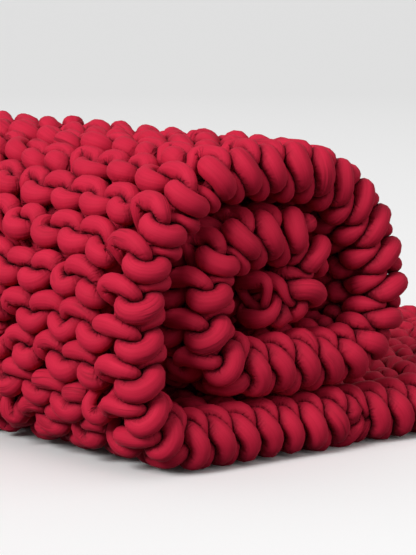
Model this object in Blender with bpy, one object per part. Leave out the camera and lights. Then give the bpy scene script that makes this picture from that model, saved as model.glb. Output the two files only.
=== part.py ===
"""Chunky hand-knitted weighted blanket, rolled up from one end with its other end left flat.

The blanket is one oblong panel of garter stitch in a fat stuffed tube yarn. It is modelled as one solid:
the panel's own cross-section, a flat oval strip across its width, swept along the way in which it is
wound. The route starts at the free end that lies on the surface, runs to the roll and winds inwards.
X is across the roll, with the free end towards +X. Y is along the roll. Z is up, from the flat
underside. The origin is the middle of the base.
"""
import math
from collections import namedtuple

import bmesh
import bpy

# The panel, laid flat. All sizes are in metres.
PANEL_WIDTH = 1.02        # across the stitches, along the roll
PANEL_LENGTH = 1.98       # along the rows' stacking, the length that is wound up
PANEL_THICKNESS = 0.062   # over the ridges of both faces
EDGE_ROUNDING = 0.020     # how far each edge of the panel rounds off

# How finely the round stretches are divided.
ARC_STEP = math.radians(10)
EDGE_STEPS = 6

# The wound route of the panel's middle surface, from the free end inwards. Each stretch is a straight run
# and then a bend, always to the same side. set_back is how far the near edge of that stretch sits behind
# the edge of the outer turn, because the inner turns have slipped in a little.
Stretch = namedtuple("Stretch", "name run bend_radius bend_deg set_back")
WINDING = (
    Stretch("corner on the surface", None, 0.070, 90, 0.000),
    Stretch("outer turn, rising", 0.058, 0.137, 90, 0.000),
    Stretch("outer turn, top", 0.050, 0.137, 90, 0.000),
    Stretch("outer turn, falling", 0.000, 0.064, 90, 0.003),
    Stretch("second turn, low", 0.114, 0.055, 90, 0.005),
    Stretch("second turn, rising", 0.016, 0.062, 90, 0.007),
    Stretch("second turn, top", 0.041, 0.0335, 90, 0.009),
    Stretch("hook at the core", 0.000, 0.0335, 90, 0.011),
    Stretch("starting edge", 0.022, 0.060, 10, 0.012),
)

# Deep red cotton jersey, matte.
YARN_COLOUR = (0.48, 0.021, 0.050, 1.0)
YARN_ROUGHNESS = 0.85
YARN_METALLIC = 0.0

Station = namedtuple("Station", "x z heading set_back")


def free_run_length():
    """Straight run on the surface: what the bends and the other runs leave of the panel's length."""
    wound = sum((s.run or 0.0) + s.bend_radius * math.radians(s.bend_deg) for s in WINDING)
    return PANEL_LENGTH - 2 * EDGE_ROUNDING - wound


def winding_stations():
    """Points along the middle surface, with the heading and the set-back at each."""
    x, z, heading = 0.0, PANEL_THICKNESS / 2, math.pi
    set_back = WINDING[0].set_back
    stations = [Station(x, z, heading, set_back)]
    for stretch in WINDING:
        run = free_run_length() if stretch.run is None else stretch.run
        if run > 0:
            x += math.cos(heading) * run
            z += math.sin(heading) * run
            stations.append(Station(x, z, heading, set_back))
        bend = math.radians(stretch.bend_deg)
        steps = round(bend / ARC_STEP) or 1
        chord = 2 * stretch.bend_radius * math.sin(bend / steps / 2)
        change = (stretch.set_back - set_back) / steps
        for _ in range(steps):
            x += math.cos(heading - bend / steps / 2) * chord
            z += math.sin(heading - bend / steps / 2) * chord
            heading -= bend / steps
            set_back += change
            stations.append(Station(x, z, heading, set_back))
    return stations


def strip_section(squeeze, inset):
    """Outline of the panel across its width, as (place along Y, height over the middle surface)."""
    half_width = PANEL_WIDTH / 2 - EDGE_ROUNDING
    half_thickness = PANEL_THICKNESS / 2 * squeeze
    outline = []
    for side in (1, -1):
        for step in range(EDGE_STEPS + 1):
            turn = math.pi * step / EDGE_STEPS
            along = half_width + (EDGE_ROUNDING - inset) * math.sin(turn)
            outline.append((side * along, side * half_thickness * math.cos(turn)))
    return outline


def section_points(station, ahead, squeeze, inset):
    """The strip's outline stood up across the route at a station, moved ahead along its heading."""
    forward = (math.cos(station.heading), math.sin(station.heading))
    outward = (-forward[1], forward[0])
    points = []
    for along, height in strip_section(squeeze, inset):
        points.append((
            station.x + forward[0] * ahead + outward[0] * height,
            along + station.set_back,
            station.z + forward[1] * ahead + outward[1] * height,
        ))
    return points


def end_rounding(station, direction):
    """Sections that close an end of the panel with a rounded edge, from full thickness to the tip."""
    sections = []
    for degrees in (30, 55, 75, 88):
        turn = math.radians(degrees)
        ahead = direction * EDGE_ROUNDING * math.sin(turn)
        inset = EDGE_ROUNDING * (1 - math.cos(turn)) * 0.5
        sections.append(section_points(station, ahead, math.cos(turn), inset))
    return sections


def blanket_sections():
    """Every section of the blanket, from the free end's tip to the tip at the core."""
    stations = winding_stations()
    sections = end_rounding(stations[0], -1)[::-1]
    sections += [section_points(station, 0.0, 1.0, 0.0) for station in stations]
    sections += end_rounding(stations[-1], 1)
    return sections


def centred(sections):
    """The sections moved so that the middle of their base is at the origin."""
    points = [point for section in sections for point in section]
    shifts = [(min(values) + max(values)) / 2 for values in zip(*points)]
    return [[(x - shifts[0], y - shifts[1], z) for x, y, z in section] for section in sections]


def blanket_mesh():
    """One closed skin over the sections, with a flat facet at each tip."""
    mesh = bpy.data.meshes.new("rolled_blanket")
    build = bmesh.new()
    rings = [[build.verts.new(point) for point in section] for section in centred(blanket_sections())]
    count = len(rings[0])
    for ring, following in zip(rings, rings[1:]):
        for i in range(count):
            j = (i + 1) % count
            build.faces.new((ring[i], ring[j], following[j], following[i]))
    build.faces.new(rings[0][::-1])
    build.faces.new(rings[-1])
    bmesh.ops.recalc_face_normals(build, faces=build.faces)
    build.to_mesh(mesh)
    build.free()
    mesh.shade_smooth()
    mesh.set_sharp_from_angle(angle=math.radians(50))
    return mesh


def yarn_material():
    """Matte cotton jersey."""
    material = bpy.data.materials.new("cotton_tube_yarn")
    material.use_nodes = True
    shader = material.node_tree.nodes["Principled BSDF"]
    shader.inputs["Base Color"].default_value = YARN_COLOUR
    shader.inputs["Roughness"].default_value = YARN_ROUGHNESS
    shader.inputs["Metallic"].default_value = YARN_METALLIC
    return material


for leftover in list(bpy.data.objects):
    bpy.data.objects.remove(leftover, do_unlink=True)

blanket = bpy.data.objects.new("rolled_blanket", blanket_mesh())
blanket.data.materials.append(yarn_material())
bpy.context.scene.collection.objects.link(blanket)
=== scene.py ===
import math
from collections import namedtuple
from itertools import product

import bmesh
import bpy
import numpy as np
from mathutils import Matrix, Vector


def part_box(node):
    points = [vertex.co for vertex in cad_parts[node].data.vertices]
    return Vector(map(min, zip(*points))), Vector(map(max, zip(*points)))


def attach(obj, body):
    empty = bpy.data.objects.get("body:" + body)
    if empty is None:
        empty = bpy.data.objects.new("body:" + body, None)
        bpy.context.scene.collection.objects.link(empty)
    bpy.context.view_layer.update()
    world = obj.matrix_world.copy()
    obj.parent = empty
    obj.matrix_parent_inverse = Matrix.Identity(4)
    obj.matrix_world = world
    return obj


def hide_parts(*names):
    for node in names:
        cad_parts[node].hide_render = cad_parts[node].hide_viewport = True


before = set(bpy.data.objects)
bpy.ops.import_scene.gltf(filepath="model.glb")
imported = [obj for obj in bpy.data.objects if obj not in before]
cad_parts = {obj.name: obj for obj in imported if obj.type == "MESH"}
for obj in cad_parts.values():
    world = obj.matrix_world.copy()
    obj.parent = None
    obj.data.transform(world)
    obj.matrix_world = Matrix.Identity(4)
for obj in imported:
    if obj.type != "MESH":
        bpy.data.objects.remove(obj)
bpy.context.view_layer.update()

# ---------------------------------------------------------------------------------------------------------
# The panel's winding. The blanket is one oblong panel, knitted by hand in a fat tube yarn of cotton jersey.
# It is rolled up from its starting edge and set down with its last stretch left flat, and only its own
# weight holds it. Sizes are in metres, and the winding is the one that the frame's solid has.
BODY = "root"
PANEL_NODE = "rolled_blanket"
PANEL_LENGTH = 1.98
PANEL_THICKNESS = 0.062
EDGE_ROUNDING = 0.020

# The stretches of the panel's middle surface, from the free end inwards: each is a straight run and then a
# bend, and its near edge is set back behind the outer turn's. A ridge is two rows of knitting. The ridges
# are drawn apart where the outer turn rises, and crowd where it comes down.
Stretch = namedtuple("Stretch", "name run bend_radius bend_deg set_back ridge_pitch")
WINDING = (
    Stretch("corner on the surface", None, 0.070, 90, 0.000, 0.0315),
    Stretch("outer turn, rising", 0.058, 0.137, 90, 0.000, 0.0385),
    Stretch("outer turn, top", 0.050, 0.137, 90, 0.000, 0.0320),
    Stretch("outer turn, falling", 0.000, 0.064, 90, 0.003, 0.0285),
    Stretch("second turn, low", 0.114, 0.055, 90, 0.005, 0.0320),
    Stretch("second turn, rising", 0.016, 0.062, 90, 0.007, 0.0320),
    Stretch("second turn, top", 0.041, 0.0335, 90, 0.009, 0.0320),
    Stretch("hook at the core", 0.000, 0.0335, 90, 0.011, 0.0320),
    Stretch("starting edge", 0.022, 0.060, 10, 0.012, 0.0320),
)
OUTER_TURN = WINDING[:4]
ROUTE_STEP = 0.001
ROUTE_SPARE = 0.030        # straight on past each end, for what stands out of the end rows

panel_low, panel_high = (np.array(corner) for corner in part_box(PANEL_NODE))


def wound_length(stretches):
    """Length of the stretches' bends and runs, without the free run."""
    return sum((s.run or 0.0) + s.bend_radius * math.radians(s.bend_deg) for s in stretches)


middle_length = PANEL_LENGTH - 2 * EDGE_ROUNDING
free_run = middle_length - wound_length(WINDING)


def wound_route():
    """The middle surface every millimetre: distance, x, z, heading, set-back and row number."""
    steps, bend, back, rows = [], [], [], []

    def lay(length, curvature, set_backs, ridge_pitch):
        count = max(1, round(length / ROUTE_STEP))
        steps.append(np.full(count, length / count))
        bend.append(np.full(count, curvature * length / count))
        back.append(np.linspace(set_backs[0], set_backs[1], count))
        rows.append(np.full(count, 2 / ridge_pitch * length / count))

    before = WINDING[0].set_back
    lay(ROUTE_SPARE, 0.0, (before, before), WINDING[0].ridge_pitch)
    for s in WINDING:
        lay(free_run if s.run is None else s.run, 0.0, (before, before), s.ridge_pitch)
        lay(s.bend_radius * math.radians(s.bend_deg), 1 / s.bend_radius, (before, s.set_back), s.ridge_pitch)
        before = s.set_back
    lay(ROUTE_SPARE, 0.0, (before, before), WINDING[-1].ridge_pitch)

    steps, bend, back, rows = (np.concatenate(part) for part in (steps, bend, back, rows))
    turned = np.concatenate(([0.0], np.cumsum(bend)))
    heading = math.pi - turned
    middle = (heading[1:] + heading[:-1]) / 2
    x = np.concatenate(([0.0], np.cumsum(steps * np.cos(middle))))
    z = np.concatenate(([0.0], np.cumsum(steps * np.sin(middle))))
    far = np.concatenate(([0.0], np.cumsum(steps))) - ROUTE_SPARE
    number = np.concatenate(([0.0], np.cumsum(rows)))
    number -= np.interp(0.0, far, number)
    x += panel_high[0] - EDGE_ROUNDING + ROUTE_SPARE
    z += PANEL_THICKNESS / 2
    return far, x, z, heading, np.concatenate((back[:1], back)), number


route = dict(zip(("far", "x", "z", "heading", "set_back", "row"), wound_route()))


def on_panel(row, across, outward):
    """Places in space of points given by row number, distance from the near edge and height over the
    middle surface towards the outside of the roll."""
    x, z, heading, set_back = (np.interp(row, route["row"], route[key])
                               for key in ("x", "z", "heading", "set_back"))
    return np.stack((x - np.sin(heading) * outward,
                     panel_low[1] + set_back + across,
                     z + np.cos(heading) * outward), axis=1)


# ---------------------------------------------------------------------------------------------------------
# The rows of garter stitch. One fat yarn goes to and fro across the panel, a row at a time. Each row's
# loops are pulled by hand through the row before and lean to one face, and the next row's to the other. At
# each edge the yarn turns back round the side of the panel, which makes the big beads on the roll's ends.
WALES = 19                 # stitches in a row
ARC_RADIUS = 0.0118        # of the stuffed tube where it lies free, at a loop's head and foot
NECK_RADIUS = 0.0058       # of the same tube where loops pull through each other
PLUMP_SHORTNESS = 1.5      # how short the full stretch of a head or foot is
FOOT_FULLNESS = 0.07       # how much fuller a foot is than the mean, and a head thinner
LOOP_HEIGHT = 0.88         # half height of a loop, in rows
EDGE_HEIGHT = 0.95         # the same of the outermost loops
LOOP_FLATNESS = 0.20       # how flat its head and foot are
LOOP_NECK = 0.0095         # how much a loop narrows at its neck
FOOT_TIGHTNESS = 0.0035    # how much less of that a foot has than the mean, and a head more
LOOP_SHOULDER = 0.0016     # how square its shoulders are
LOOP_DEPTH = 0.0205        # how far loops lean to either face
LOOP_TWIST = 0.003         # how far one shoulder lies over its neighbour, and the other under
LOOP_HOLD = -0.13          # how soon head and foot leave their face, and below 0 how late
FOOT_PROUDNESS = 0.06      # how much further out a foot lies than the mean, and a head less
STITCH_POINTS = 18
END_ROW_HEIGHT = 0.45      # of the loops cast on and cast off, as a share of the others'
END_ROW_SPARE = 0.4        # length of the panel beyond its last whole row, in rows

panel_across = (panel_high[1] - panel_low[1]) - max(s.set_back for s in WINDING)
last_row = np.interp(middle_length, route["far"], route["row"])
row_count = int(last_row // 2) * 2
route["row"] *= (row_count + END_ROW_SPARE) / last_row

EDGE_BULGE = 0.005         # how far a turn-back swings out past the last stitch
EDGE_DRAW = 0.15           # how far a turn-back draws its two rows together, in rows
EDGE_TIP_REACH = 0.72      # how far a turn-back reaches to each face, as a share of a loop's lean
EDGE_ARCH_REACH = 1.26     # the same of the outermost loop's head, which lies round the turn-back's tip
EDGE_SPREAD = 0.012        # how far the outermost loop's free leg swings out
FREE_LEG = 0.30            # stitches from the edge to the middle of that leg
TURN_POINTS = 5
margin = EDGE_BULGE + ARC_RADIUS
wale_width = (panel_across - 2 * margin) / WALES

# Hand knitting is uneven: each loop differs from its neighbours, and is a little like those before it.
HEIGHT_UNEVENNESS = 0.10   # as shares of a loop's height, depth and width, and of a row
DEPTH_UNEVENNESS = 0.10
LEAN_UNEVENNESS = 0.07
SHIFT_UNEVENNESS = 0.10
EDGE_EVENNESS = 0.4        # unevenness of the loops at the edges, as a share of the others'
LIKE_ROW_BEFORE = 0.5
LIKE_LOOP_BESIDE = 0.3
LIKENESS_GAIN = 1.16       # what that likeness adds to the spread, which is taken out again
rng = np.random.default_rng(11)


def uneven(rows, columns, strength):
    """A table of hand-knitted unevenness, one value for each stitch."""
    table = rng.normal(0.0, strength, (rows, columns))
    alike = table + LIKE_ROW_BEFORE * np.roll(table, 1, 0) + LIKE_LOOP_BESIDE * np.roll(table, 1, 1)
    return alike / LIKENESS_GAIN


height_of = uneven(row_count, WALES + 1, HEIGHT_UNEVENNESS)
depth_of = uneven(row_count, WALES + 1, DEPTH_UNEVENNESS)
lean_of = uneven(row_count, WALES + 1, LEAN_UNEVENNESS)
shift_of = uneven(row_count, WALES + 1, SHIFT_UNEVENNESS)

SLANT = 4.9                # of the rows over the roll's middle stretch, in rows for each metre across
SLANT_FADE = 42            # rows at each end over which the slant dies out
RowWave = namedtuple("RowWave", "rows radians_each_metre radians_each_row")
ROW_WAVES = (
    RowWave(0.16, 14, 0.11),
    RowWave(0.12, 27, -0.19),
    RowWave(0.08, 43, 0.37),
)
PHASES_DRAWN = 4           # one more than the waves need, and every later draw follows it
wave_phases = rng.uniform(0, 2 * math.pi, PHASES_DRAWN)


def wander(row, across):
    """How far the row lines stray, in rows: slow waves, and the slant of a panel rolled a little askew,
    which dies out towards its two ends."""
    slanting = np.interp(row, (0, SLANT_FADE, row_count - SLANT_FADE, row_count), (0, 1, 1, 0))
    stray = SLANT * (across - panel_across / 2) * slanting
    for wave, phase in zip(ROW_WAVES, wave_phases):
        angle = across * wave.radians_each_metre + row * wave.radians_each_row + phase
        stray = stray + wave.rows * np.sin(angle)
    return stray


def row_of_loops(number):
    """The yarn of one row from the near edge: row, across, outward and radius at each point. The foot
    value is 1 at the foot between two loops, -1 at a loop's head and 0 at its legs. Distances from the
    edge are in stitches, with the turn-back at 0 and the outermost loop's head at 0.5."""
    turn = np.arange(WALES * STITCH_POINTS + 1) * 2 * math.pi / STITCH_POINTS
    stitch = turn / (2 * math.pi)
    foot = np.cos(turn)
    columns = np.arange(WALES + 1)
    from_edge = np.minimum(stitch, WALES - stitch)
    to_edge = np.where(stitch < WALES / 2, -1.0, 1.0)
    face = 1 if number % 2 == 0 else -1

    steadier = np.interp(from_edge, (0.0, 1.0), (EDGE_EVENNESS, 1.0))
    height = (np.interp(from_edge, (0.5, 1.5), (EDGE_HEIGHT, LOOP_HEIGHT))
              * (1 + steadier * np.interp(stitch, columns, height_of[number])))
    depth = LOOP_DEPTH * (1 + steadier * np.interp(stitch, columns, depth_of[number]))
    lean = steadier * np.interp(stitch, columns, lean_of[number])
    shift = steadier * np.interp(stitch, columns, shift_of[number])
    if number == 0:
        height = np.where(foot > 0, END_ROW_HEIGHT, 1.0) * height
    if number == row_count - 1:
        height = np.where(foot < 0, END_ROW_HEIGHT, 1.0) * height

    across = (margin + stitch * wale_width + (LOOP_NECK - FOOT_TIGHTNESS * foot) * np.sin(2 * turn)
              + LOOP_SHOULDER * np.sin(4 * turn) - wale_width * lean * foot)
    free_leg = np.interp(from_edge, (0.0, FREE_LEG, 0.5, 0.7), (0.0, 1.0, 0.5, 0.0))
    across += EDGE_SPREAD * free_leg * to_edge
    row = number + 0.5 + shift - height * (foot + LOOP_FLATNESS * np.cos(3 * turn))
    row += face * to_edge * EDGE_DRAW * np.interp(from_edge, (0.0, FREE_LEG), (1.0, 0.0))
    reach = 1 + FOOT_PROUDNESS * foot
    reach *= np.interp(from_edge, (0.0, 0.25, 0.5, 0.75), (EDGE_TIP_REACH, 1.0, EDGE_ARCH_REACH, 1.0))
    outward = (LOOP_TWIST * np.sin(2 * turn)
               - face * depth * reach * (foot + LOOP_HOLD * np.cos(3 * turn)))
    fullness = (0.5 + 0.5 * np.cos(2 * turn)) ** PLUMP_SHORTNESS
    radius = (NECK_RADIUS + (ARC_RADIUS - NECK_RADIUS) * fullness) * (1 + FOOT_FULLNESS * foot)
    return row, across, outward, radius


def turn_back(start, end, side):
    """The yarn's way round the panel's edge from one row's end to the next row's start."""
    part = np.arange(1, TURN_POINTS + 1) / (TURN_POINTS + 1)
    row = start[0] + (end[0] - start[0]) * part
    across = start[1] + (end[1] - start[1]) * part + side * EDGE_BULGE * np.sin(math.pi * part)
    outward = (start[2] + end[2]) / 2 + (start[2] - end[2]) / 2 * np.cos(math.pi * part)
    return row, across, outward, np.full(TURN_POINTS, ARC_RADIUS)


STRAND_RADIUS = 0.0078     # of the strand that the first row is cast on to, drawn tight
STRAND_ROW = -0.02         # where it lies, in rows
STRAND_DIP = 0.22          # how far it is drawn in under each loop, in rows
STRAND_WEAVE = 0.003       # how far it passes over one loop's leg and under the other
STRAND_POINTS = 8          # for each stitch
STRAND_START = 0.5         # stitches in from the far edge, where the yarn's own end is tucked in
STRAND_STOP = 0.3          # stitches in from the near edge, where the strand turns into the first row
TUCK_LENGTH = 0.040
TUCK_ROWS = 0.8


def cast_on_strand():
    """The yarn's first way across the panel, from the far edge, drawn tight inside the first row's loops."""
    stitch = np.arange(WALES - STRAND_START, STRAND_STOP, -1 / STRAND_POINTS)
    row = STRAND_ROW + STRAND_DIP * np.cos(2 * math.pi * stitch)
    outward = STRAND_WEAVE * np.sin(2 * math.pi * stitch)
    radius = np.interp(WALES - stitch, (STRAND_START, 2 * STRAND_START), (NECK_RADIUS / 2, STRAND_RADIUS))
    return row, margin + stitch * wale_width, outward, radius


def tucked_end(start):
    """The yarn's last end, sewn back into the panel's middle and drawn thin."""
    part = np.arange(1, TURN_POINTS + 1) / TURN_POINTS
    radius = np.interp(part, (0.0, 1.0), (start[3], NECK_RADIUS / 2))
    return start[0] - TUCK_ROWS * part, start[1] + TUCK_LENGTH * part, start[2] * (1 - part), radius


def yarn_through_panel():
    """The whole yarn as one line of points: row, across, outward and radius."""
    parts = [cast_on_strand()]
    for number in range(row_count):
        loops = row_of_loops(number)
        if number % 2:
            loops = tuple(values[::-1] for values in loops)
        side = 1 if number % 2 else -1
        parts.append(turn_back([v[-1] for v in parts[-1]], [v[0] for v in loops], side))
        parts.append(loops)
    parts.append(tucked_end([v[-1] for v in parts[-1]]))
    return [np.concatenate(values) for values in zip(*parts)]


yarn_row, yarn_across, yarn_outward, yarn_radius = yarn_through_panel()
laid = on_panel(yarn_row + wander(yarn_row, yarn_across), yarn_across, yarn_outward)

# ---------------------------------------------------------------------------------------------------------
# How the loops settle. The yarn is soft and keeps its length. Each loop presses on the loops it passes
# through and on the next turn of the roll, and slides until they fit, with the lowest on the surface.
# Every point is moved a little in each round, and the yarn fills out over the first half of the rounds.
LAID_SHARE = 0.55          # of the yarn's own radius that it takes up as laid
PRESSED_SHARE = 0.86       # the same once it has filled out, squashed by its neighbours
SETTLE_ROUNDS = 60
LOOK_AGAIN = 10            # rounds between two searches for neighbours
LOOK_REACH = 2.1           # radii of a pressed tube: how far the search looks
LOOK_SPARE = 0.004         # and how much further than that
SAME_STRETCH = 4           # points along the yarn that never press on each other
PUSH = 0.22                # share of an overlap that each of the two moves in a round
SMOOTHING = 0.10           # share of a kink that is taken out in a round
HOMING = 0.02              # share of the way back to its place as laid
STRETCH_LIMITS = (0.6, 1.4)  # of the mean, for the yarn's length between two points
LEAST = 1e-6               # keeps a division clear of nothing


def near_pairs(these, those, reach):
    """Pairs of indices, into these and into those, of points nearer to each other than reach. Points are
    sorted into cells as wide as the reach, and each looks in its own cell and those around it."""
    low = np.minimum(these.min(0), those.min(0)) - 2 * reach
    cells, others = (np.floor((points - low) / reach).astype(np.int64) for points in (these, those))
    size = np.maximum(cells.max(0), others.max(0)) + 3
    keys = (others[:, 0] * size[1] + others[:, 1]) * size[2] + others[:, 2]
    order = np.argsort(keys, kind="stable")
    keys = keys[order]
    found = []
    for step in product((-1, 0, 1), repeat=2):
        wanted = ((cells[:, 0] + step[0]) * size[1] + cells[:, 1] + step[1]) * size[2] + cells[:, 2]
        first = np.searchsorted(keys, wanted - 1, "left")
        count = np.searchsorted(keys, wanted + 1, "right") - first
        here = np.repeat(np.arange(len(these)), count)
        run = np.arange(len(here)) - np.repeat(np.cumsum(count) - count, count)
        there = order[run + np.repeat(first, count)]
        close = ((these[here] - those[there]) ** 2).sum(1) < reach * reach
        found.append((here[close], there[close]))
    return np.concatenate([f[0] for f in found]), np.concatenate([f[1] for f in found])


def gather(index, vectors, count):
    """Sum of the vectors that fall on each index."""
    return np.stack([np.bincount(index, vectors[:, axis], count) for axis in range(3)], axis=1)


def settled(laid):
    """The yarn's points after the loops have pushed each other apart."""
    points, count = laid.copy(), len(laid)
    lengths = np.linalg.norm(np.diff(laid, axis=0), axis=1)
    lengths = np.clip(lengths, *(lengths.mean() * limit for limit in STRETCH_LIMITS))
    for round_number in range(SETTLE_ROUNDS):
        if round_number % LOOK_AGAIN == 0:
            here, there = near_pairs(points, points, LOOK_REACH * ARC_RADIUS * PRESSED_SHARE + LOOK_SPARE)
            apart = there - here > SAME_STRETCH
            here, there = here[apart], there[apart]
            full_gap = yarn_radius[here] + yarn_radius[there]
        between = points[there] - points[here]
        distance = np.maximum(np.linalg.norm(between, axis=1), LEAST)
        share = LAID_SHARE + (PRESSED_SHARE - LAID_SHARE) * min(1.0, 2 * round_number / SETTLE_ROUNDS)
        push = PUSH * np.maximum(0.0, share * full_gap - distance) / distance
        moved = between * push[:, None]
        points += gather(there, moved, count) - gather(here, moved, count)
        points[1:-1] += SMOOTHING * ((points[:-2] + points[2:]) / 2 - points[1:-1])
        for parity in (0, 1, 0, 1):
            a, b = points[parity:-1:2], points[parity + 1::2]
            step = b - a
            span = np.maximum(np.linalg.norm(step, axis=1), LEAST)
            fix = (0.5 * (span - lengths[parity::2]) / span)[:, None] * step
            points[parity:-1:2] += fix
            points[parity + 1::2] -= fix
        points += HOMING * (laid - points)
        points[:, 2] = np.maximum(points[:, 2], PRESSED_SHARE * yarn_radius)
    return points


yarn = settled(laid)

# ---------------------------------------------------------------------------------------------------------
# Where the tube needs fine rings. The rings that the tube is swept through stand close where the yarn
# shows and bends: at the panel's edges, on the roll's outer face, and on the flat end's top and edge. They
# stand far apart inside the roll and underneath, and further apart towards the far end.
RING_TURN = 0.30           # radians from ring to ring where the yarn shows
RING_SPACING_SHOWN = (0.0038, 0.0068)
RING_SPACING_HIDDEN = 0.0210
COARSER_FROM = (0.30, 0.50)  # from the near edge, over which the rings get as far apart as this
COARSER_TIMES = 2.0
SHOWN_FROM_EDGE = 0.125    # how far in from the roll's ends the inner turns can be seen
SHOWN_OF_FLAT_END = 0.42   # how far in from the free edge the panel's top shows
SHOWN_OF_FREE_EDGE = 0.03  # the same of its underside too
NEAR_MIDDLE = 0.005        # how far past the middle surface a face's loops still show
NEIGHBOUR_STEP = 0.6       # points along the yarn between two places that the skin is pressed against


def smooth_line(points, part):
    """Points of the Catmull-Rom line through the given points, at places counted in points."""
    at = np.clip(np.floor(part).astype(int), 0, len(points) - 2)
    t = (part - at)[:, None]
    a, b, c, d = (points[np.clip(at + step, 0, len(points) - 1)] for step in (-1, 0, 1, 2))
    cubed = (3 * b - a - 3 * c + d) * t ** 3
    return 0.5 * (2 * b + (c - a) * t + (2 * a - 5 * b + 4 * c - d) * t ** 2 + cubed)


def ring_places(points, spacing):
    """Places along the yarn, counted in points, spaced as wanted at each point."""
    length = np.linalg.norm(np.diff(points, axis=0), axis=1)
    count = np.concatenate(([0.0], np.cumsum(length / ((spacing[1:] + spacing[:-1]) / 2))))
    return np.interp(np.arange(0, count[-1]), count, np.arange(len(points)))


def wanted_spacing():
    """Distance between rings that each point of the yarn asks for."""
    far = np.interp(yarn_row, route["row"], route["far"])
    outer_end = free_run + wound_length(OUTER_TURN)
    at_edges = (yarn_across < SHOWN_FROM_EDGE) | (yarn_across > panel_across - SHOWN_FROM_EDGE)
    outer_face = (far > free_run) & (far < outer_end) & (yarn_outward > -NEAR_MIDDLE)
    flat_top = (far < SHOWN_OF_FLAT_END) & (yarn_outward < NEAR_MIDDLE)
    shown = at_edges | outer_face | flat_top | (far < SHOWN_OF_FREE_EDGE)
    steps = np.diff(yarn, axis=0)
    headings = steps / np.linalg.norm(steps, axis=1, keepdims=True)
    bends = np.linalg.norm(np.diff(headings, axis=0), axis=1) / np.linalg.norm(steps[1:], axis=1)
    spacing = np.clip(RING_TURN / np.pad(bends, 1, "edge"), *RING_SPACING_SHOWN)
    spacing *= np.interp(yarn_across, COARSER_FROM, (1.0, COARSER_TIMES))
    spacing = np.where(shown, spacing, RING_SPACING_HIDDEN)
    return np.convolve(np.pad(spacing, 1, "edge"), (0.25, 0.5, 0.25), "valid")


places = ring_places(yarn, wanted_spacing())
rings = smooth_line(yarn, places)
along = np.concatenate(([0.0], np.cumsum(np.linalg.norm(np.diff(rings, axis=0), axis=1))))
fine_places = np.arange(0, len(yarn) - 1, NEIGHBOUR_STEP)
fine = smooth_line(yarn, fine_places)
fine_along = np.interp(fine_places, places, along)

# ---------------------------------------------------------------------------------------------------------
# The tube yarn itself: a seamless tube of cotton jersey stuffed with soft filling. It swells where it is
# free, flattens where it meets its neighbours, and creases on the inside of a tight bend. It is knitted in
# from several lengths, one piece each, and each starts where the one before it stops.
LENGTHS = 6
TUBE_SIDES = 15
LUMP_LENGTH = 0.045        # between the thick and thin places that uneven filling makes
LUMP_FULLNESS = 0.06       # how much thicker or thinner they are
NEIGHBOUR_REACH = 2.3      # radii of a free tube: how far away another can still press on it
SAME_BEND = 2.0            # radii of it, along the yarn, within which the yarn never presses on itself
UNTOUCHED = 1.0            # reach of the skin where nothing stops it, more than any tube's radius
CONTACT_GAP = 0.0003       # between the skin and the plane where two tubes meet
SWELL = 0.10               # how much a squeezed stretch swells where it is free
SQUEEZE_RINGS = 5          # rings that such a stretch is averaged over
BEND_LIMIT = 0.92          # of the bend's own radius, on its inside
CONTACT_ROUNDING = 0.002   # how softly the skin turns from free to flattened
PRESSED_FROM = 1.12        # of its radius: how near the skin's middle a neighbour shades it
PRESSED_SHADE = 4.0        # how fast that shade deepens as the neighbour presses in
PINCH_GAIN = 1.3           # how fast puckers deepen with the bend, which is 1 at the tube's own radius
PINCH_FROM = 0.2           # what is taken off that, so that gentle bends have none

lumps = rng.normal(0, 1, int(along[-1] / LUMP_LENGTH) + 2)
plumpness = 1 + LUMP_FULLNESS * np.interp(along / LUMP_LENGTH, np.arange(len(lumps)), lumps)
thickness = plumpness * np.interp(places, np.arange(len(yarn)), yarn_radius)
fine_thickness = np.interp(fine_places, places, thickness)


def add(tree, kind, given=()):
    """A node with its settings and inputs. An input goes by its name or its number among the enabled ones,
    and takes a plain value, a socket, or a node, which stands for its first enabled output."""
    node = tree.nodes.new(kind)
    inputs = {}
    for key, value in dict(given).items():
        if isinstance(key, str) and hasattr(node, key):
            setattr(node, key, value)
        else:
            inputs[key] = value
    enabled = [socket for socket in node.inputs if socket.enabled]
    for key, value in inputs.items():
        socket = enabled[key] if isinstance(key, int) else next(s for s in enabled if s.name == key)
        if isinstance(value, bpy.types.Node):
            value = next(output for output in value.outputs if output.enabled)
        if isinstance(value, bpy.types.NodeSocket):
            tree.links.new(value, socket)
        else:
            socket.default_value = value
    return node


def tube_tree(material):
    """Geometry nodes that sweep a ring along a line of points."""
    tree = bpy.data.node_groups.new("tube_sweep", "GeometryNodeTree")
    face = tree.interface
    face.new_socket("Line", in_out="INPUT", socket_type="NodeSocketGeometry")
    radius = face.new_socket("Tube radius", in_out="INPUT", socket_type="NodeSocketFloat")
    sides = face.new_socket("Sides", in_out="INPUT", socket_type="NodeSocketInt")
    face.new_socket("Tube", in_out="OUTPUT", socket_type="NodeSocketGeometry")
    radius.default_value = ARC_RADIUS
    sides.default_value = TUBE_SIDES
    given = add(tree, "NodeGroupInput").outputs
    line = add(tree, "GeometryNodeMeshToCurve", {"Mesh": given["Line"]})
    ring = add(tree, "GeometryNodeCurvePrimitiveCircle",
               {"Resolution": given["Sides"], "Radius": given["Tube radius"]})
    tube = add(tree, "GeometryNodeCurveToMesh", {"Fill Caps": True, "Curve": line, "Profile Curve": ring})
    smooth = add(tree, "GeometryNodeSetShadeSmooth", {"Geometry": tube})
    real = add(tree, "GeometryNodeRealizeInstances", {"Geometry": smooth})
    dressed = add(tree, "GeometryNodeSetMaterial", {"Material": material, "Geometry": real})
    add(tree, "NodeGroupOutput", {"Tube": dressed})
    return tree, {"radius": radius.identifier, "sides": sides.identifier}


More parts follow.
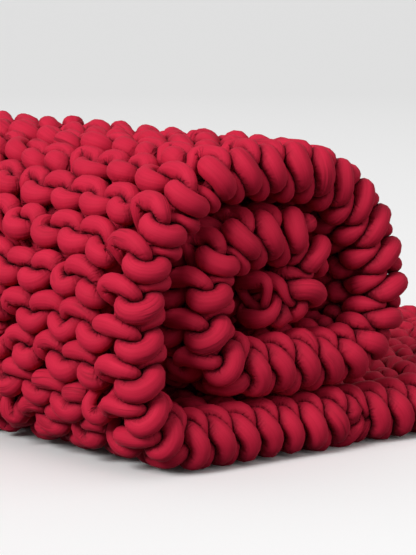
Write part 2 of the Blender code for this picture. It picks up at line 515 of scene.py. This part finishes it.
def swept_tube(name, line, tree, sockets):
    """A plain mesh object: the tube swept along the line."""
    mesh = bpy.data.meshes.new(name)
    mesh.from_pydata(line.tolist(), [(i, i + 1) for i in range(len(line) - 1)], [])
    guide = bpy.data.objects.new(name + "_line", mesh)
    bpy.context.scene.collection.objects.link(guide)
    sweep = guide.modifiers.new("sweep", "NODES")
    sweep.node_group = tree
    sweep[sockets["radius"]] = ARC_RADIUS
    sweep[sockets["sides"]] = TUBE_SIDES
    result = bpy.data.meshes.new_from_object(guide.evaluated_get(bpy.context.evaluated_depsgraph_get()))
    guide.modifiers.clear()
    bpy.data.objects.remove(guide)
    bpy.data.meshes.remove(mesh)
    result.name = name
    piece = bpy.data.objects.new(name, result)
    bpy.context.scene.collection.objects.link(piece)
    return piece


def soft_least(values, cap, blend):
    """The lesser of two lengths, with the corner between them rounded off."""
    part = np.clip(0.5 + 0.5 * (values - cap) / blend, 0, 1)
    return values + (cap - values) * part - blend * part * (1 - part)


def eased(values):
    """Values on the rings with single-ring unevenness smoothed out, around the tube and along it."""
    around = 0.5 * values + 0.25 * (np.roll(values, 1, 1) + np.roll(values, -1, 1))
    eased_along = around.copy()
    eased_along[1:-1] = 0.5 * around[1:-1] + 0.25 * (around[:-2] + around[2:])
    return eased_along


def line_bend(centres, along):
    """Curvature of the line of rings, as a vector towards the bend's inside."""
    step = np.maximum(np.gradient(along)[:, None], LEAST)
    return np.gradient(np.gradient(centres, axis=0), axis=0) / step ** 2


def squashed(centres, along, outwards, radius):
    """How far the tube's skin reaches from each ring's centre, in each direction, and how hard a neighbour
    presses there, from 0 where it is free to 1 in the depth between two tubes, which sets both the puckers
    and the painted shade between tubes. A neighbour takes up the room beyond the plane between the two,
    which stands nearer to the thinner one."""
    here, there = near_pairs(centres, fine, NEIGHBOUR_REACH * ARC_RADIUS)
    apart = np.abs(along[here] - fine_along[there]) > SAME_BEND * ARC_RADIUS
    here, there = here[apart], there[apart]
    order = np.argsort(here, kind="stable")
    here, there = here[order], there[order]
    between = fine[there] - centres[here]
    share = radius[here] / (radius[here] + fine_thickness[there])
    half = (between ** 2).sum(1) * share
    starts = np.flatnonzero(np.concatenate(([True], here[1:] != here[:-1])))
    reach = np.full(outwards.shape[:2], UNTOUCHED)
    for side in range(outwards.shape[1]):
        facing = (between * outwards[here, side]).sum(1)
        limit = np.where(facing > LEAST, half / np.maximum(facing, LEAST), UNTOUCHED)
        reach[here[starts], side] = np.minimum.reduceat(limit, starts)
    reach -= CONTACT_GAP
    inward = np.maximum((line_bend(centres, along)[:, None, :] * outwards).sum(2), LEAST)
    reach = np.minimum(reach, BEND_LIMIT / inward)
    squeeze = np.clip(1 - reach / radius[:, None], 0, 1).mean(1)
    squeeze = np.convolve(squeeze, np.ones(SQUEEZE_RINGS) / SQUEEZE_RINGS, "same")
    full = (radius * (1 + SWELL * squeeze))[:, None]
    # Painted shade as well as pressure: this sets how dark the skin is painted between tubes, and how it
    # puckers.
    pressure_and_valley_shade = np.clip(PRESSED_SHADE * (PRESSED_FROM - reach / radius[:, None]), 0, 1)
    return eased(soft_least(reach, full, CONTACT_ROUNDING)), eased(pressure_and_valley_shade)


def store(mesh, name, kind, values):
    """A named value at each of the mesh's points."""
    field = {"FLOAT": "value", "FLOAT_VECTOR": "vector"}[kind]
    mesh.attributes.new(name, kind, "POINT").data.foreach_set(field, np.asarray(values, np.float32).ravel())


def linear(hex_colour):
    """An sRGB hex colour as linear RGBA."""
    parts = [int(hex_colour[i:i + 2], 16) / 255 for i in (1, 3, 5)]
    return tuple(p / 12.92 if p <= 0.04045 else ((p + 0.055) / 1.055) ** 2.4 for p in parts) + (1.0,)


# Cotton jersey, knitted as a tube and piece-dyed. That gives a matte skin with fine ribs that run with the
# tube, a slightly uneven red, and a faint bloom of short fibres at grazing angles.
JERSEY_DARK = "#B51835"
JERSEY_LIGHT = "#D02242"
CREASE_SHADOW_RED = "#5E0416"     # painted shade in the depth of a crease
VALLEY_RED = "#2A0008"     # between two tubes, where hardly any light comes
FIBRE_RED = "#FF5A70"      # of the short fibres that stand off the jersey
JERSEY_ROUGHNESS = 0.75
JERSEY_GLOSS = 0.16        # cotton's specular level, well under a smooth plastic's 0.5
FIBRE_SHEEN = 0.08
FIBRE_ROUGHNESS = 0.40
DYE_WIDTH = 45.0           # mm, of the dye's slow changes
DYE_DETAIL = 4.0
RIB_WIDTH = 2.4            # mm, two real wales of the jersey, drawn wider so that they show
RIB_SHADE = 1.2            # how far the ribs' painted shade goes through the dye's range, lighter on crests and darker between
LUMP_WIDTH = 22.0          # mm, of the filling's lumps
FOLD_WIDTH = 10.0          # mm between the soft folds that run with the tube
FOLD_LINE = 0.07           # how wide its valley is, as a share of the noise's range
FOLDED_WIDTH = 60.0        # mm, of the patches that have folds at all
FOLDED_FROM = (0.56, 0.70)  # of that noise, between no folds and full ones
PUCKER_WIDTH = 5.5         # mm between the puckers across a squeezed bend
PUCKER_LINE = 0.12
PUCKER_BY_PRESSING = 0.8   # how strongly a neighbour's pressure puckers it, where a bend's inside has 1
CREASE_SHADE = 0.6         # how far the painted shade of folds and puckers goes towards the crease's dark red
RIB_DEPTH = 0.34           # mm, as the depths below
LUMP_DEPTH = 1.5
FOLD_DEPTH = 0.45
PUCKER_DEPTH = 3.2
MILLIMETRE = 0.001
ALONG_RIBS = 0.06          # how fast they change along the tube, as a share of their rate around it
ALONG_LUMPS = 0.7
ALONG_FOLDS = 0.12
AROUND_PUCKERS = 0.22      # how fast they change around it, as a share of their rate along it


def stuffed_jersey():
    """Cotton jersey over soft filling. Fine ribs and some soft folds run with the tube, its filling makes
    it a little lumpy, and puckers cross it where a bend squeezes it. Painted shade darkens the grooves
    between ribs, the depth of folds and puckers, and the valleys between tubes."""
    material = bpy.data.materials.new("stuffed_cotton_jersey")
    material.use_nodes = True
    tree = material.node_tree
    tree.nodes.clear()
    space = add(tree, "ShaderNodeAttribute", {"attribute_name": "yarn_space"}).outputs["Vector"]
    pinch = add(tree, "ShaderNodeAttribute", {"attribute_name": "pinch"}).outputs["Fac"]
    pressure_and_valley_shade = add(tree, "ShaderNodeAttribute", {"attribute_name": "pressure_and_valley_shade"}).outputs["Fac"]

    def pattern(width, around=1.0, lengthwise=1.0, detail=2.0):
        """Noise whose features are so many millimetres wide, stretched around or along the tube."""
        placed = add(tree, "ShaderNodeMapping", {"Scale": (around, around, lengthwise), "Vector": space})
        return add(tree, "ShaderNodeTexNoise",
                   {"Scale": 1 / (width * MILLIMETRE), "Detail": detail, "Vector": placed})

    def creases(noise, line):
        """Thin valleys, from 1 in their depth to 0, where the noise passes its middle value."""
        past_middle = add(tree, "ShaderNodeMath", {"operation": "SUBTRACT", 0: noise, 1: 0.5})
        distance = add(tree, "ShaderNodeMath", {"operation": "ABSOLUTE", 0: past_middle})
        return add(tree, "ShaderNodeMapRange", {"interpolation_type": "SMOOTHSTEP", "Value": distance,
                                                "From Max": line, "To Min": 1.0, "To Max": 0.0})

    ribs = pattern(RIB_WIDTH, lengthwise=ALONG_RIBS)
    filling = pattern(LUMP_WIDTH, lengthwise=ALONG_LUMPS)
    folded = add(tree, "ShaderNodeMapRange", {"Value": pattern(FOLDED_WIDTH),
                                              "From Min": FOLDED_FROM[0], "From Max": FOLDED_FROM[1]})
    fold_lines = creases(pattern(FOLD_WIDTH, lengthwise=ALONG_FOLDS), FOLD_LINE)
    folds = add(tree, "ShaderNodeMath", {"operation": "MULTIPLY", 0: fold_lines, 1: folded})
    by_pressing = add(tree, "ShaderNodeMath", {"operation": "MULTIPLY", 0: pressure_and_valley_shade, 1: PUCKER_BY_PRESSING})
    squeezed = add(tree, "ShaderNodeMath", {"operation": "MAXIMUM", 0: pinch, 1: by_pressing})
    pucker_lines = creases(pattern(PUCKER_WIDTH, around=AROUND_PUCKERS), PUCKER_LINE)
    puckers = add(tree, "ShaderNodeMath", {"operation": "MULTIPLY", 0: pucker_lines, 1: squeezed})

    height = 0.0
    reliefs = ((ribs, RIB_DEPTH), (filling, LUMP_DEPTH), (folds, -FOLD_DEPTH), (puckers, -PUCKER_DEPTH))
    for relief, depth in reliefs:
        height = add(tree, "ShaderNodeMath", {"operation": "MULTIPLY_ADD", 0: relief, 1: depth, 2: height})
    bump = add(tree, "ShaderNodeBump", {"Strength": 1.0, "Distance": MILLIMETRE, "Height": height})

    # Painted shade: the dye goes lighter on each rib's crest and darker between ribs, in step with their
    # bump.
    rib_shade = add(tree, "ShaderNodeMath",
                    {"operation": "MULTIPLY_ADD", 0: ribs, 1: RIB_SHADE, 2: -RIB_SHADE / 2})
    dye_and_rib_shade = add(tree, "ShaderNodeMath",
                    {"operation": "ADD", 0: pattern(DYE_WIDTH, detail=DYE_DETAIL), 1: rib_shade})
    dyed_with_rib_shade = add(tree, "ShaderNodeMix", {"data_type": "RGBA", "Factor": dye_and_rib_shade,
                                       "A": linear(JERSEY_DARK), "B": linear(JERSEY_LIGHT)})
    # Painted shade: the colour goes darker red in the depth of folds and puckers.
    creased = add(tree, "ShaderNodeMath", {"operation": "MAXIMUM", 0: folds, 1: puckers})
    crease_shade = add(tree, "ShaderNodeMath", {"operation": "MULTIPLY", 0: creased, 1: CREASE_SHADE})
    with_painted_crease_shade = add(tree, "ShaderNodeMix",
               {"data_type": "RGBA", "Factor": crease_shade, "A": dyed_with_rib_shade, "B": linear(CREASE_SHADOW_RED)})
    # Painted shade: the skin goes near black between tubes, where a neighbour comes close.
    shaded = add(tree, "ShaderNodeMix",
                 {"data_type": "RGBA", "Factor": pressure_and_valley_shade, "A": with_painted_crease_shade, "B": linear(VALLEY_RED)})
    shader = add(tree, "ShaderNodeBsdfPrincipled", {
        "Base Color": shaded, "Normal": bump,
        "Roughness": JERSEY_ROUGHNESS, "Specular IOR Level": JERSEY_GLOSS,
        "Sheen Weight": FIBRE_SHEEN, "Sheen Roughness": FIBRE_ROUGHNESS, "Sheen Tint": linear(FIBRE_RED)})
    add(tree, "ShaderNodeOutputMaterial", {"Surface": shader})
    return material


jersey = stuffed_jersey()
sweep_tree, sweep_sockets = tube_tree(jersey)
cuts = np.linspace(0, len(rings), LENGTHS + 1).round().astype(int)
angle = np.arange(TUBE_SIDES) * 2 * math.pi / TUBE_SIDES
for number in range(LENGTHS):
    span = slice(cuts[number], min(cuts[number + 1] + 1, len(rings)))
    piece = swept_tube(f"yarn_length_{number + 1}", rings[span], sweep_tree, sweep_sockets)
    skin = np.empty((span.stop - span.start) * TUBE_SIDES * 3, np.float32)
    piece.data.vertices.foreach_get("co", skin)
    spokes = skin.reshape(-1, TUBE_SIDES, 3) - rings[span, None]
    spokes /= np.linalg.norm(spokes, axis=2, keepdims=True)
    reach, pressure_and_valley_shade = squashed(rings[span], along[span], spokes, thickness[span])
    skin = rings[span, None] + spokes * reach[:, :, None]
    skin[:, :, 2] = np.maximum(skin[:, :, 2], 0.0)
    piece.data.vertices.foreach_set("co", skin.astype(np.float32).ravel())
    space = np.stack(np.broadcast_arrays(np.cos(angle) * ARC_RADIUS, np.sin(angle) * ARC_RADIUS,
                                         along[span, None]), axis=2)
    inward = (line_bend(rings[span], along[span])[:, None, :] * spokes).sum(2) * ARC_RADIUS
    store(piece.data, "yarn_space", "FLOAT_VECTOR", space)
    store(piece.data, "pinch", "FLOAT", np.clip(inward * PINCH_GAIN - PINCH_FROM, 0, 1))
    store(piece.data, "pressure_and_valley_shade", "FLOAT", pressure_and_valley_shade)
    piece.data.update()
    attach(piece, BODY)
    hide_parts(PANEL_NODE)

# ---------------------------------------------------------------------------------------------------------
# The floor and the wall: a wide sheet of pale matte paper that the blanket lies on, and a round wall far
# behind it, evenly lit, which only shows from near the floor. The floor throws no light back up, so that
# the loops stay dark underneath, and the wall gives no light and stops none.
FLOOR_SIZE = 60.0
PAPER_NEAR = "#FDFDFD"
PAPER_FAR = "#EDEDED"
PAPER_LIGHT_FALLOFF = (1.0, 6.0)    # metres from the middle, over which the paper is painted darker, as painted falloff of light
PAPER_ROUGHNESS = 0.9
PAPER_GLOSS = 0.1
WALL_DISTANCE = 28.0       # from the middle, beyond all that the photograph's view takes in
WALL_HEIGHT = 12.0
WALL_SIDES = 96
WALL_GREY = "#E4E4E4"

floor_mesh = bpy.data.meshes.new("studio_floor")
half = FLOOR_SIZE / 2
corners = [(-half, -half, 0), (half, -half, 0), (half, half, 0), (-half, half, 0)]
floor_mesh.from_pydata(corners, [], [(0, 1, 2, 3)])
floor = bpy.data.objects.new("studio_floor", floor_mesh)
floor.visible_diffuse = False
bpy.context.scene.collection.objects.link(floor)
paper = bpy.data.materials.new("matte_paper")
paper.use_nodes = True
paper.node_tree.nodes.clear()
spot = add(paper.node_tree, "ShaderNodeTexCoord").outputs["Object"]
away = add(paper.node_tree, "ShaderNodeVectorMath", {"operation": "LENGTH", "Vector": spot}).outputs["Value"]
# Painted light: the paper is painted brighter near the middle and darker far out, as light falling off.
painted_light_falloff = add(paper.node_tree, "ShaderNodeMapRange",
           {"Value": away, "From Min": PAPER_LIGHT_FALLOFF[0], "From Max": PAPER_LIGHT_FALLOFF[1]})
tone = add(paper.node_tree, "ShaderNodeMix",
           {"data_type": "RGBA", "Factor": painted_light_falloff, "A": linear(PAPER_NEAR), "B": linear(PAPER_FAR)})
sheet = add(paper.node_tree, "ShaderNodeBsdfPrincipled",
            {"Base Color": tone, "Roughness": PAPER_ROUGHNESS, "Specular IOR Level": PAPER_GLOSS})
add(paper.node_tree, "ShaderNodeOutputMaterial", {"Surface": sheet})
floor_mesh.materials.append(paper)

wall_mesh = bpy.data.meshes.new("studio_wall")
build = bmesh.new()
bmesh.ops.create_cone(build, segments=WALL_SIDES, radius1=WALL_DISTANCE, radius2=WALL_DISTANCE,
                      depth=WALL_HEIGHT, matrix=Matrix.Translation((0, 0, WALL_HEIGHT / 2)))
bmesh.ops.reverse_faces(build, faces=build.faces)
build.to_mesh(wall_mesh)
build.free()
wall = bpy.data.objects.new("studio_wall", wall_mesh)
for rays in ("diffuse", "glossy", "transmission", "shadow"):
    setattr(wall, "visible_" + rays, False)
bpy.context.scene.collection.objects.link(wall)
backdrop = bpy.data.materials.new("evenly_lit_backdrop")
backdrop.use_nodes = True
backdrop.cycles.emission_sampling = "NONE"
backdrop.node_tree.nodes.clear()
glow = add(backdrop.node_tree, "ShaderNodeEmission", {"Color": linear(WALL_GREY), "Strength": 1.0})
add(backdrop.node_tree, "ShaderNodeOutputMaterial", {"Surface": glow})
wall_mesh.materials.append(backdrop)

# ---------------------------------------------------------------------------------------------------------
# The camera. It stands where the photograph was taken from: before the roll's near end, to its left and a
# little above it. One point of the near end and its pixel in the photograph place the frame.
CAMERA_AZIMUTH = math.radians(41.0)
CAMERA_DROP = math.radians(8.15)  # how far it looks down
CAMERA_DISTANCE = 2.52
CAMERA_SENSOR = 24.0       # mm, the sensor's height
CAMERA_SIGHT = 100.0       # how far it sees, past the wall from any side
FRAME_WIDTH, FRAME_HEIGHT = 416, 555
PIXELS_PER_METRE = 1002.0  # at the aim, a point in the near end's plane
AIM_ACROSS = 0.165         # from the roll's left side to the aim
AIM_HEIGHT = 0.160
AIM_PIXEL = (258.1, 309.1)  # where the photograph shows it

aim = np.array((panel_low[0] + AIM_ACROSS, panel_low[1], AIM_HEIGHT))
ahead = np.array((math.sin(CAMERA_AZIMUTH) * math.cos(CAMERA_DROP),
                  math.cos(CAMERA_AZIMUTH) * math.cos(CAMERA_DROP),
                  -math.sin(CAMERA_DROP)))
right = np.array((math.cos(CAMERA_AZIMUTH), -math.sin(CAMERA_AZIMUTH), 0.0))
up = np.cross(right, ahead)
eye = aim - ahead * CAMERA_DISTANCE
centre = (aim - right * (AIM_PIXEL[0] - FRAME_WIDTH / 2) / PIXELS_PER_METRE
          + up * (AIM_PIXEL[1] - FRAME_HEIGHT / 2) / PIXELS_PER_METRE)


def look(thing, place, target):
    """Stands a thing at a place, facing a target."""
    thing.location = Vector(place)
    thing.rotation_euler = (Vector(target) - Vector(place)).to_track_quat("-Z", "Y").to_euler()


camera_data = bpy.data.cameras.new("camera")
camera_data.sensor_fit = "VERTICAL"
camera_data.sensor_height = CAMERA_SENSOR
camera_data.lens = CAMERA_DISTANCE * PIXELS_PER_METRE * CAMERA_SENSOR / FRAME_HEIGHT
camera_data.clip_end = CAMERA_SIGHT
camera = bpy.data.objects.new("camera", camera_data)
bpy.context.scene.collection.objects.link(camera)
look(camera, eye, centre)
bpy.context.scene.camera = camera

# ---------------------------------------------------------------------------------------------------------
# The light: a broad key light from the left, a third of the way up, two faint square lights that open the
# shadows of the near end, and a wide pale sky that is dark only along the horizon.
KEY_STRENGTH = 2.55
KEY_WIDTH = math.radians(25)
KEY_FROM = (-2.9, -0.5, 1.85)
LIT_POINT = (0.0, 0.0, 0.15)
SKY_STRENGTH = 0.46
SKY_RIM = "#272727"        # along the horizon, dark so that undersides stay dark
SKY_WHITE = "#FFFFFF"
SKY_RIM_TOP = 0.12         # sine of the height at which the rim has faded to white


def soft_light(name, place, size, power):
    """A square area light that faces the roll."""
    data = bpy.data.lights.new(name, "AREA")
    data.shape = "SQUARE"
    data.size = size
    data.energy = power
    light = bpy.data.objects.new(name, data)
    bpy.context.scene.collection.objects.link(light)
    look(light, place, LIT_POINT)


key_data = bpy.data.lights.new("key_light", "SUN")
key_data.energy = KEY_STRENGTH
key_data.angle = KEY_WIDTH
key_light = bpy.data.objects.new("key_light", key_data)
bpy.context.scene.collection.objects.link(key_light)
look(key_light, KEY_FROM, (0.0, 0.0, 0.0))
soft_light("floor_light", place=(-1.2, -2.2, 2.6), size=2.4, power=5)
soft_light("end_light", place=(-0.3, -2.9, 0.8), size=1.4, power=10)

world = bpy.data.worlds.new("pale_sky")
bpy.context.scene.world = world
world.use_nodes = True
sky = world.node_tree
sky.nodes.clear()
direction = add(sky, "ShaderNodeTexCoord").outputs["Generated"]
height = add(sky, "ShaderNodeSeparateXYZ", {"Vector": direction}).outputs["Z"]
brightness = add(sky, "ShaderNodeValToRGB", {"Fac": height})
for stop, place, tone in zip(brightness.color_ramp.elements, (0.0, SKY_RIM_TOP), (SKY_RIM, SKY_WHITE)):
    stop.position = place
    stop.color = linear(tone)
background = add(sky, "ShaderNodeBackground", {"Color": brightness, "Strength": SKY_STRENGTH})
add(sky, "ShaderNodeOutputWorld", {"Surface": background})
bpy.context.scene.view_settings.view_transform = "Standard"
